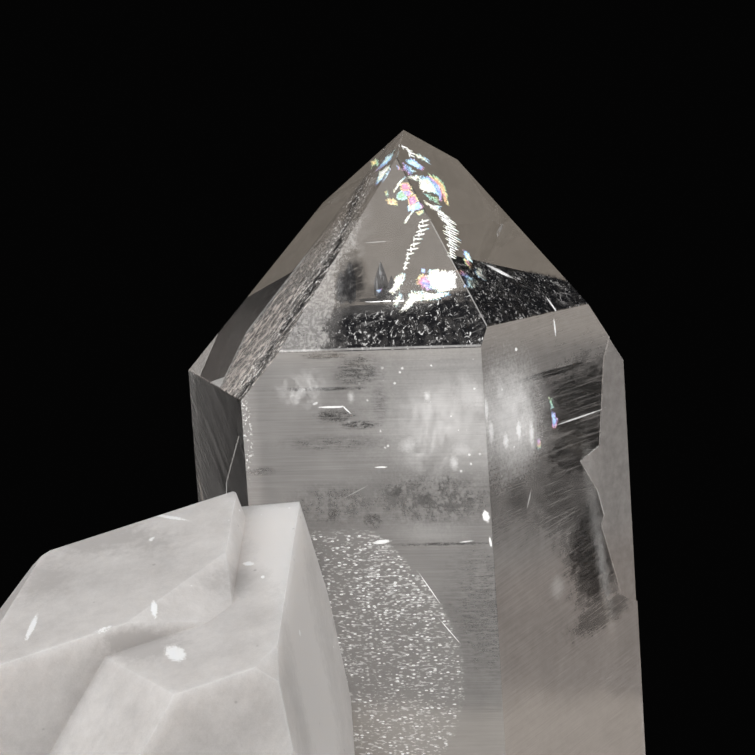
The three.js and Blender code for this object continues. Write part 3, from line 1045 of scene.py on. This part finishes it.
class ClearFaces:
    # where a point of the clear crystal lies: its height, distances across three faces, each face's mask
    def __init__(self, sheet, local):
        self.sheet, self.local = sheet, local
        self.x, y, self.z = sheet.parts(local)
        cosine, sine = 0.5, 0.8660  # of 60 degrees
        self.rightAcross = self.x * cosine + y * sine
        self.leftAcross = self.x * cosine - y * sine
        self.across = {0: self.x, 60: self.rightAcross, 300: self.leftAcross}
        self.upperFront = self.near(0, 1)
        self.upperRight = self.near(60, 1) * (1 - self.upperFront)
        self.upperLeft = self.near(300, 1) * (1 - self.upperFront)
        self.front = self.near(0, 0) * (1 - self.upperFront)
        self.right = (self.near(60, 0, skin["sunkLayer"]) * (1 - self.upperRight) * (1 - self.upperFront) *
                      (1 - self.front))
        self.band = self.right * (1 - self.near(60, 0, skin["aboveLayer"]))
        self.left = self.near(300, 0) * (1 - self.front)
        self.masks = {
            (0, 0): self.front, (60, 0): self.right, (0, 1): self.upperFront, (60, 1): self.upperRight}

    def near(self, turn, upper, depth=skin["face"]):
        # 1 on one face, where normal . place comes within the depth of its plane
        side = int(turn / 60)
        normal = tuple(faceNormal(turn, clearCrystal["rises"][side] if upper else 0))
        settings = {"operation": "DOT_PRODUCT"}
        along = self.sheet.node("VectorMath", settings, [self.local, normal], output="Value")
        reach = clearCrystal["reaches" if upper else "sides"][side]
        return along.step(reach - depth, reach - depth / 2)

    def ellipse(self, turn, row, soft, tear):
        # the reach is the root of along squared plus over squared, in half sizes; the edge is round reach 1
        middle, height, halfWidth, halfHeight, tilt, strength = row
        c, s = np.cos(np.radians(tilt)), np.sin(np.radians(tilt))
        across = self.across[turn]
        up = self.z.timesPlus(s / halfWidth, -(middle * c + height * s) / halfWidth)
        along = across.timesPlus(c / halfWidth, up)
        up = self.z.timesPlus(c / halfHeight, (middle * s - height * c) / halfHeight)
        over = across.timesPlus(-s / halfHeight, up)
        reach = over.timesPlus(over, along * along) ** 0.5 + tear
        return reach.step(1 + soft, 1 - soft, (0.0, strength))

    def patches(self, turn, upper, table, soft, tear=0.0):
        # the strongest of a table's ellipses on one face, with edges that a noise can tear
        return strongest([self.ellipse(turn, row, soft, tear) for row in table[turn, upper]])

    def scattered(self, table, soft, tear=0.0):
        # a table's ellipses, each kept to its own face
        return strongest([self.patches(*face, table, soft, tear) * mask
                          for face, mask in self.masks.items() if face in table])


def clearNoises(sheet, local, on):
    # the noises that the faces share; the last two tear the edges of patches
    by = SimpleNamespace()
    by.fine = sheet.noise(local, (0.06, 0.06, 3.4), 3.0, 0.7)
    by.soft = sheet.noise(local, 0.16, 2.0, 0.6)
    by.grains = sheet.noise(local, 2.4, 3.0, 0.7)
    by.mottle = sheet.noise(local, 0.75, 3.0, 0.65)
    # lines that climb to the right on the right side, and more steeply low down
    climb = on.z - on.rightAcross * (0.06 + on.z.step(-48, -60) * 0.19)
    by.slant = sheet.noise(sheet.point(on.rightAcross * 0.10, climb * 4.2), 1.0, 3.0, 0.8)
    along = (on.leftAcross - on.z * 0.368) * 0.8
    by.crumple = sheet.noise(sheet.point(along, on.z * 0.55), 1.0, 4.0, 0.78, 0.8)
    by.tear = (by.mottle - 0.5) * 1.2
    by.fineTear = (by.grains - 0.5) * 1.2
    return by


def frontSide(sheet, local, on, by):
    # fine level growth lines, with windows that long lines break up above and a mottle low down
    lines = sheet.noise(local, (0.5, 0.5, 3.0), 3.0, 0.75)
    lowHalf = on.z.band(-55, -45, 1.0)
    broken = ((lines.step(0.32, 0.62) * 0.8 + by.grains.step(0.40, 0.64) * 0.2) * (1 - lowHalf) +
              (by.mottle.step(0.34, 0.66) * 0.7 + by.grains.step(0.40, 0.66) * 0.3) * lowHalf)
    clear = on.patches(0, 0, clearWindows, 0.6, by.tear)
    dull = haze["front"] * (0.80 + 0.4 * by.soft) + (by.fine - 0.5) * 0.26 + on.z.step(-33.5, -29.5) * 0.04
    return dull * (1 - (clear * broken).clamped())


def rightSide(on, by):
    # slanted lines, windows with bright slits, and a duller band above the sunk layer
    clear = (on.patches(60, 0, clearWindows, 0.5, by.tear) * (0.6 + 0.8 * by.grains)).clamped()
    dull = (haze["right"] * (0.70 + 0.6 * by.soft) + (by.slant - 0.5) * 0.34 + (by.mottle - 0.5) * 0.14 +
            on.z.step(-50, -62) * 0.18 + on.z.step(-35.5, -33.5) * 0.10)
    slits = by.slant.step(0.48, 0.66)
    dull = dull * (1 - clear) + clear * (0.03 + slits * 0.30)
    return dull * (1 - on.band) + on.band * (haze["rightBand"] * (0.50 + 0.3 * by.soft + 0.7 * by.mottle))


def leftSide(sheet, on):
    # oblique lines, darker towards the front
    climb = (on.z + on.leftAcross * 0.6) * 2.6
    oblique = sheet.noise(sheet.point(on.leftAcross * 0.05, climb), 1.0, 3.0, 0.75)
    return haze["left"] * (1.6 - on.leftAcross.step(-24, -2) * 0.8) + oblique.step(0.44, 0.62) * 0.20 - 0.06


def growthHillocks(sheet, local, on, by):
    # where glittering hillocks lie, low on the left of the front, under an arc; then the painted glints of
    # their scales and dashes
    arc = (on.z + 74) ** 2 * -0.0278 + 7.8
    patch = on.z.step(-53.0, -54.4) * (arc - on.x + (by.grains - 0.5) * 2).step(-0.5, 0.4) * on.front
    scales = sheet.cells(local, (1.25, 1.25, 3.0))
    drawn = sheet.parts(scales.besides("Color"))[0]
    dense = on.patches(0, 0, denseHillocks, 0.8)
    dashes = sheet.noise(local, (1.3, 1.3, 3.8), 2.0, 0.6)
    chosen = (drawn + dense * 0.35).step(0.40, 1.00)
    bright = (1 - (scales + (by.grains - 0.5) * 0.6).step(0.22, 0.40)) * chosen
    return patch, bright.most((dashes + dense * 0.04 - 0.03).step(0.52, 0.62) * haze["hillocks"])


def crumpledStrip(on, by):
    # on the pyramid's left face: crumpled flakes, and a crack beside the edge to the front face painted dark
    # as shade, with painted shade in pits and painted sparkles near the crack
    limit = (on.z * 0.368 - 0.64).most(on.z * -0.6 - 27.7)
    strip = (on.leftAcross - limit + (by.mottle - 0.5) * 3).step(-0.8, 0.8) * on.upperLeft
    crack = (on.leftAcross + (on.z * 0.91 + 9.9).most(-4.2) + (by.mottle - 0.5) * 3.5).size()
    flakes = (by.crumple.step(0.46, 0.62) * 0.45 + by.grains.step(0.50, 0.64) * 0.25) * (0.5 + by.mottle)
    made = SimpleNamespace(strip=strip)
    made.crack = (1 - crack.step(0.3, 2.2)) * by.crumple.step(0.64, 0.42) * strip
    made.pits = by.crumple.step(0.42, 0.32) * strip
    made.sparkles = ((1 - crack.step(1.5, 8.0)) * by.grains.step(0.54, 0.62) * by.crumple.step(0.42, 0.56) *
                     strip)
    made.dull = (haze["upperLeft"] * (0.8 + 0.4 * by.soft) +
                 on.z.step(-20, -32) * (0.03 + by.mottle * 0.16) +
                 strip * flakes * (0.30 + on.z.step(-10, -26) * 1.6))
    made.relief = ((by.crumple * 6.0 + by.grains * 1.5) * (on.leftAcross - limit).step(-0.8, 0.8) *
                   on.upperLeft)
    return made


def darkBelt(sheet, local, on, by):
    # a painted dark reflection in a belt low on the pyramid's front and right faces, with painted glints for
    # flecks, and a pale flaky corner beside it
    corner = on.z * 0.185 - 2.7 - on.x
    flaky = (corner + (by.mottle - 0.5) * 5).step(-2.2, 2.0) * on.upperFront
    top = on.x.step(2, 12) * 2.6 - 23.4 + (by.mottle - 0.5) * 2.6 + (by.grains - 0.5) * 1.6
    made = SimpleNamespace()
    made.front = (on.z - top).step(0.5, -0.5) * on.upperFront * (1 - flaky)
    made.right = ((on.z + 18.8 + on.rightAcross * 0.2527 + (by.mottle - 0.5) * 1.6).step(0.3, -0.5) *
                  on.upperRight)
    # where the belt's painted shade is patchy
    made.smoky = by.mottle.step(0.44, 0.62)
    made.flecks = sheet.noise(local, (1.5, 1.5, 0.9), 3.0, 0.8, 1.2)
    made.dull = (haze["upperFront"] * (0.6 + 0.5 * by.soft + 0.5 * by.mottle) +
                 flaky * (0.10 + by.mottle * 0.16 + by.grains.step(0.42, 0.62) * 0.30))
    made.relief = by.grains * corner.step(-2.2, 2.0) * on.upperFront * 1.5
    return made


def cloudSparks(sheet, local, on, by):
    # painted glints: bright points in the white cloud
    points = 1 - (sheet.cells(local, 0.62) + (by.grains - 0.5) * 0.2).step(0.06, 0.17)
    return points * on.scattered(sparkPlaces, 0.5) * by.soft.step(0.40, 0.50)


def clearHaze(sheet, local):
    # how much of each face is dull from growth lines and flakes, how much is dark, the height of its relief,
    # where it glints and where it is warm
    on = ClearFaces(sheet, local)
    by = clearNoises(sheet, local, on)
    patch, hillocks = growthHillocks(sheet, local, on, by)
    strip = crumpledStrip(on, by)
    belt = darkBelt(sheet, local, on, by)

    # the pyramid's edge between front and right, with painted shade above and a painted highlight low down; a
    # painted highlight on the front's upper rim
    edge = on.near(0, 1, skin["edge"]) * on.near(60, 1, skin["edge"])
    paleEdge = on.z.step(-10.5, -12.5)
    rim = on.near(0, 1, skin["rim"]) * on.near(0, 0)

    # painted shade: a near-black colour where the faces show dark; there they are also smoother, so they
    # mirror the dark around them
    dark = strongest([
        strip.crack * 0.95,
        strip.pits * 0.7,
        belt.front * (0.97 - belt.smoky * 0.30),
        belt.right * (0.90 - belt.smoky * 0.55),
        edge * (1 - paleEdge) * 0.7,
        on.scattered(darkZones, 0.5, by.tear) * by.crumple.step(0.25, 0.45),
    ]).clamped()
    amount = (frontSide(sheet, local, on, by) * on.front * (1 - patch) + patch * (0.42 + by.grains * 0.16) +
              rightSide(on, by) * on.right * (1 - on.front) +
              leftSide(sheet, on) * on.left * (1 - on.front) +
              strip.dull * on.upperLeft + belt.dull * on.upperFront) * (1 - dark)
    # painted highlights: white glints, which also shine by a glow of their own
    glint = strongest([
        patch * hillocks,
        on.scattered(brightMarks, 0.3, by.fineTear),
        rim * (0.1 + 0.5 * by.soft),
        on.scattered(leftEdgeGlints, 0.4, by.fineTear) * by.grains.step(0.54, 0.62),
        cloudSparks(sheet, local, on, by) * 0.9,
        strip.sparkles * 0.9,
        edge * paleEdge * 0.35,
        on.scattered(whiteGlows, 0.9, by.tear + by.fineTear * 1.2) * (0.7 + 0.6 * by.mottle),
        (belt.front + belt.right * 0.6) * belt.flecks.step(0.55, 0.66) * by.grains.step(0.42, 0.54) * 0.8,
        (belt.front + belt.right) * by.crumple.step(0.55, 0.70) * by.soft.step(0.42, 0.60) * 0.35,
    ])
    height = by.fine * on.front + by.slant * on.right + belt.relief + strip.relief
    warm = strip.strip.most(on.upperLeft * 0.8).most(on.right * (0.35 + on.z.step(-56, -64) * 0.65))
    return amount.clamped(), dark, height, glint.clamped(), warm.clamped()


def clearQuartz():
    sheet = Sheet("clearQuartz")
    local = sheet.place(clearCrystal["tip"], clearTurned)
    amount, dark, height, glint, warm = clearHaze(sheet, local)
    normal = sheet.bump(haze, height)
    body = sheet.node("BsdfPrincipled", None, {
        "Base Color": (1, 1, 1, 1), "Roughness": glass["roughness"], "IOR": glass["ior"],
        "Transmission Weight": 1.0, "Normal": normal})
    dull = (amount + glint * haze["glintCover"]).clamped()
    smoother = (glint * haze["glintSmoother"]).most(dark * haze["darkSmoother"])
    colour = sheet.blend(glint, sheet.blend(warm, haze["colour"], haze["warm"]), haze["glint"])
    colour = sheet.blend((dark / (dark + dull + 0.001)) * (1 - glint), colour, haze["dark"])
    dullBody = sheet.node("BsdfPrincipled", None, {
        "Base Color": colour, "Roughness": haze["roughness"] - smoother, "IOR": glass["ior"],
        "Normal": normal, "Emission Color": sheet.blend(glint, (0, 0, 0, 1), haze["glint"]),
        "Emission Strength": haze["glow"]})
    volume = sheet.node("VolumeAbsorption", None, {"Color": glass["tint"], "Density": glass["density"]})
    surface = sheet.mixed(dull.most(dark), body, dullBody)
    return sheet.finish(inShadowClear(sheet, surface), volume)


milk = {
    "dark": (0.50, 0.475, 0.46, 1),
    "light": (0.76, 0.73, 0.71, 1),
    "pit": (0.30, 0.285, 0.275, 1),
    "chipAndGlint": (0.97, 0.965, 0.96, 1),
    "roughness": 0.35,
    "scatter": 10,  # how far light goes under the surface
    "bump": 0.25,
    "bumpHeight": 0.2,
}

milkyChipsAndGlints = [
    # white chips and painted highlights: place in the row, half sizes, turned about z
    ((-15.5, -31.9, 57.1), (0.40, 2.2, 0.9), 8),
    ((-12.4, -38.5, 52.9), (1.1, 2.2, 1.2), 20),
    ((-31.2, -31.6, 54.4), (0.40, 3.6, 1.6), -8),
    ((-20.9, -35.1, 55.1), (1.7, 0.45, 0.5), 24),
    ((-14.9, -9.7, 64.4), (2.9, 0.35, 0.5), -33),
    ((-16.8, -14.5, 62.3), (0.5, 0.9, 0.5), -20),
    ((-1.8, -23.5, 59.4), (0.25, 0.4, 0.3), 0),
    ((-3.8, -19.5, 60.3), (0.8, 0.5, 0.4), -30),
    ((3.1, -25.1, 52.3), (0.35, 0.5, 0.4), 0),
]

milkyShadeAndLight = [
    # painted shade on the milky crystals, and painted light where the amount is below 0: place in the row,
    # half sizes, turned about z, how much
    ((-23.0, -12.0, 62.2), (8.0, 6.0, 1.3), -8, 0.7),
    ((-16.8, -34.8, 53.4), (4.0, 4.0, 1.6), 0, 0.8),
    ((-6.0, -23.0, 58.6), (4.0, 4.0, 1.8), 10, 0.5),
    ((-31.0, -20.0, 58.0), (3.0, 5.0, 3.0), 0, 0.5),
    ((9.0, -24.0, 52.0), (7.0, 10.0, 18.0), 0, -1.3),
    ((0.0, -12.0, 64.0), (4.0, 12.0, 7.0), 0, -0.9),
]


def milkyQuartz():
    sheet = Sheet("milkyQuartz")
    here = sheet.place((0, 0, 0), (0, 0, 0))
    local = sheet.place(milkyCrystal["tip"], milkyTurned)
    cloud = sheet.noise(local, 0.14, 5.0, 0.6)
    mottle = sheet.noise(here, 0.9, 4.0, 0.65)
    fibres = sheet.noise(local, (0.9, 0.9, 0.10), 3.0, 0.6)
    ragged = sheet.noise(here, 1.6, 4.0, 0.8)
    grit = sheet.noise(here, 5.5, 2.0, 0.7)
    tone = (cloud - 0.5) * 1.2 + (mottle - 0.5) * 0.5 + (fibres - 0.5) * 0.3 + (grit - 0.5) * 0.5 + 0.48
    # painted shade darkens the tone, and painted light lightens it
    for middle, halves, turned, strength in milkyShadeAndLight:
        tone = tone - sheet.spot(here, middle, turned, halves, 0.8, mottle) * strength
    torn = sheet.cells(here, 0.30) + (ragged - 0.5) * 0.10
    chosen = sheet.noise(here, 0.33, 1.0)
    # random white chips; the listed marks add white chips and painted highlights
    chipsAndGlints = (1 - torn.step(0.03, 0.07)) * chosen.step(0.56, 0.58)
    for middle, halves, turned in milkyChipsAndGlints:
        chipsAndGlints = chipsAndGlints.most(sheet.spot(here, middle, turned, halves, 0.2, (ragged + grit) - 0.5))
    pits = (1 - torn.step(0.04, 0.10)) * (1 - chosen.step(0.42, 0.44))
    colour = sheet.blend(tone.clamped(), milk["dark"], milk["light"])
    colour = sheet.blend(pits * 0.55, colour, milk["pit"])
    colour = sheet.blend(chipsAndGlints, colour, milk["chipAndGlint"])
    normal = sheet.bump(milk, mottle + chipsAndGlints)
    body = sheet.node("BsdfPrincipled", None, {
        "Base Color": colour, "Roughness": milk["roughness"], "IOR": glass["ior"], "Subsurface Weight": 1.0,
        "Subsurface Radius": (1, 0.95, 0.9), "Subsurface Scale": milk["scatter"] * millimetre,
        "Normal": normal})
    return sheet.finish(body)


# the milky foot: a near-black body that shines by a painted glow of its own, from dark to light
footGlow = {
    "body": (0.02, 0.018, 0.016, 1),
    "dark": (0.138, 0.120, 0.100, 1),
    "light": (0.188, 0.163, 0.138, 1),
    "roughness": 0.8,
    "shine": 0.1,
}


def paintedGlowFoot():
    # painted light: an even milky glow that the foot gives off by itself, which the pyramid's faces mirror,
    # with wisps
    sheet = Sheet("paintedGlowFoot")
    here = sheet.node("TexCoord", output="Object")
    cloud = sheet.noise(here, 90.0)
    wisps = sheet.noise(here, 240.0, 5.0, 0.7, 0.8)
    tone = cloud * 0.4 + wisps.step(0.3, 0.7) * 0.6
    body = sheet.node("BsdfPrincipled", None, {
        "Base Color": footGlow["body"], "Roughness": footGlow["roughness"],
        "Specular IOR Level": footGlow["shine"],
        "Emission Color": sheet.blend(tone, footGlow["dark"], footGlow["light"]), "Emission Strength": 1.0})
    return sheet.finish(body)


def rimFade(sheet, soft):
    # 1 in the middle of a sheet, 0 at its rim
    spot = sheet.node("UVMap", {"uv_map": "sheet"})
    centred = sheet.node("VectorMath", {"operation": "SUBTRACT"}, [spot, (0.5, 0.5, 0)])
    reach = sheet.node("VectorMath", {"operation": "LENGTH"}, [centred], output="Value") * 2
    return 1 - reach.step(1 - soft, 0.98)


veil = {
    "wisps": 0.52,
    "cells": 0.25,
    "grains": 0.4,
    "colour": (0.95, 0.94, 0.935, 1),
    "glowColour": (1, 0.985, 0.98, 1),
    "glow": 0.12,
}


def cloudVeil():
    # thin white wisps, cells and grains, and nothing between them, with a faint painted glow of their own
    sheet = Sheet("cloudVeil")
    local = sheet.place(clearCrystal["tip"], clearTurned)
    wisps = sheet.noise(local, (0.5, 0.5, 0.34), 5.0, 0.7, 0.8)
    cells = sheet.cells(local, (0.36, 0.36, 0.20))
    grains = sheet.noise(local, 1.3, 3.0, 0.7)
    alpha = rimFade(sheet, 0.85) * (
        wisps.step(0.36, 0.68) * veil["wisps"] + (1 - cells.step(0.06, 0.42)) * veil["cells"] +
        grains.step(0.54, 0.66) * veil["grains"])
    body = sheet.node("BsdfPrincipled", None, {
        "Base Color": veil["colour"], "Roughness": 0.9, "Specular IOR Level": 0.0, "Alpha": alpha.clamped(),
        "Emission Color": veil["glowColour"], "Emission Strength": veil["glow"]})
    return sheet.finish(body)


glitter = {
    "dark": (0.30, 0.29, 0.28, 1),
    "light": (1, 1, 1, 1),
    "metallic": 0.6,
    "roughness": 0.3,
    "bump": 1.0,
    "bumpHeight": 0.6,
}


def glitterVeil():
    # bright flakes and grains that tip every way
    sheet = Sheet("glitterVeil")
    local = sheet.place(clearCrystal["tip"], clearTurned)
    flakes = sheet.noise(local, 2.0, 4.0, 0.75, 1.0)
    grains = sheet.noise(local, 5.0, 3.0, 0.7)
    alpha = rimFade(sheet, 0.45) * (flakes.step(0.48, 0.60) * 0.6 + grains.step(0.58, 0.66) * 0.5)
    body = sheet.node("BsdfPrincipled", None, {
        "Base Color": sheet.blend(grains.step(0.45, 0.62), glitter["dark"], glitter["light"]),
        "Metallic": glitter["metallic"], "Roughness": glitter["roughness"], "Alpha": alpha.clamped(),
        "Normal": sheet.bump(glitter, flakes + grains * 0.5)})
    return sheet.finish(body)


film = {
    "speck": (1, 1, 1, 1),
    "dim": (0.12, 0.12, 0.135, 1),
    "metallic": 0.5,
    "roughness": 0.25,
    "glow": 0.75,
}

filmColours = [
    # from white through the colours of a film of air that gets thicker
    (0.0, (1, 1, 1, 1)),
    (0.15, (1, 1, 1, 1)),
    (0.22, (1, 0.96, 0.72, 1)),
    (0.30, (0.68, 0.98, 0.98, 1)),
    (0.40, (0.30, 0.58, 0.95, 1)),
    (0.50, (0.50, 0.38, 0.78, 1)),
    (0.58, (0.78, 0.30, 0.52, 1)),
    (0.67, (0.92, 0.50, 0.28, 1)),
    (0.76, (1, 0.90, 0.42, 1)),
    (0.86, (0.34, 0.62, 0.38, 1)),
    (1.0, (0.50, 0.85, 0.85, 1)),
]


def brightFilm():
    # a thin film: white to coloured, with a ragged rim and holes, lit by a painted glow of its own
    sheet = Sheet("brightFilm")
    local = sheet.place(clearCrystal["tip"], clearTurned)
    reach, tone = sheet.parts(sheet.node("UVMap", {"uv_map": "sheet"}))[:2]
    ripple = sheet.noise(local, 1.3, 4.0, 0.7)
    fine = sheet.noise(local, 3.6, 4.0, 0.75)
    mixed = tone + (ripple - 0.5) * 0.30 + (fine - 0.5) * 0.25 + (reach - 0.55).most(0.0) * 0.45
    colour = sheet.node("ValToRGB", {"stops": filmColours}, [mixed.clamped()])
    colour = sheet.blend(fine.step(0.54, 0.66) * 0.7, colour, film["speck"])
    alpha = (fine + 0.56 - reach * 0.58).step(0.44, 0.56)
    body = sheet.node("BsdfPrincipled", None, {
        "Base Color": colour, "Metallic": film["metallic"], "Roughness": film["roughness"], "Alpha": alpha,
        "Emission Color": sheet.blend(fine.step(0.34, 0.58), film["dim"], colour),
        "Emission Strength": film["glow"]})
    return sheet.finish(body)


innerDarkFinish = {
    "dark": (0.012, 0.013, 0.016, 1),
    "streak": (0.28, 0.29, 0.30, 1),
    "roughness": 0.2,
    "alpha": 0.9,
}


def darkInnerCrystals():
    # near-black crystal shapes inside the glass, with fine pale streaks along them
    sheet = Sheet("darkInnerCrystals")
    local = sheet.place(clearCrystal["tip"], clearTurned)
    lines = sheet.noise(local, (2.5, 2.5, 0.4))
    colour = sheet.blend(lines.step(0.5, 0.68), innerDarkFinish["dark"], innerDarkFinish["streak"])
    body = sheet.node("BsdfPrincipled", None, {
        "Base Color": colour, "Roughness": innerDarkFinish["roughness"], "Alpha": innerDarkFinish["alpha"]})
    return sheet.finish(body)


milky = milkyQuartz()
finishes = [
    (clearPiece, clearQuartz(), "clear_quartz", True),
    (milkyPiece, milky, "milky_quartz", True),
    (healedPoints, milky, "milky_quartz", True),
    (footPiece, paintedGlowFoot(), "milky_quartz", False),
    (cloudPiece, cloudVeil(), "milky_quartz", False),
    (glitterPiece, glitterVeil(), "clear_quartz", False),
    (flakePiece, brightFilm(), "clear_quartz", False),
    (innerPiece, darkInnerCrystals(), "clear_quartz", False),
]
for piece, material, slotName, standsForNode in finishes:
    piece.data.materials.append(material)
    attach(piece, "root")
    if standsForNode:
        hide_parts(cadNode)
